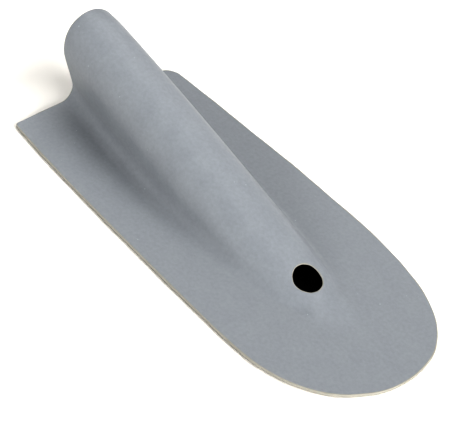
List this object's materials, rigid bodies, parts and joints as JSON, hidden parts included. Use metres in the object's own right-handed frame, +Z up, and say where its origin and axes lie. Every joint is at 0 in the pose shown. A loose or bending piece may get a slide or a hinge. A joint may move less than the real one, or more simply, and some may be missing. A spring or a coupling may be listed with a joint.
{
  "type": "cable exit fairing",
  "caption": "Thin one-piece moulded fairing: flat round-nosed flange with a hollow tapering ridge that is open at the rear, and one round hole in its crest.",
  "frame": {"origin": "on the flat underside, half way along the part and on its centre line", "axes": "+X along the fairing to the rounded nose, +Y to the left, +Z up out of the skin"},
  "size_m": [0.206, 0.09, 0.0415],
  "materials": {
    "grey_gelcoat": "satin blue-grey gelcoat on glass-fibre laminate, fine dust and sanding marks"
  },
  "bodies": {
    "root": {"fairing_shell": "grey_gelcoat"}
  },
  "joints": []
}
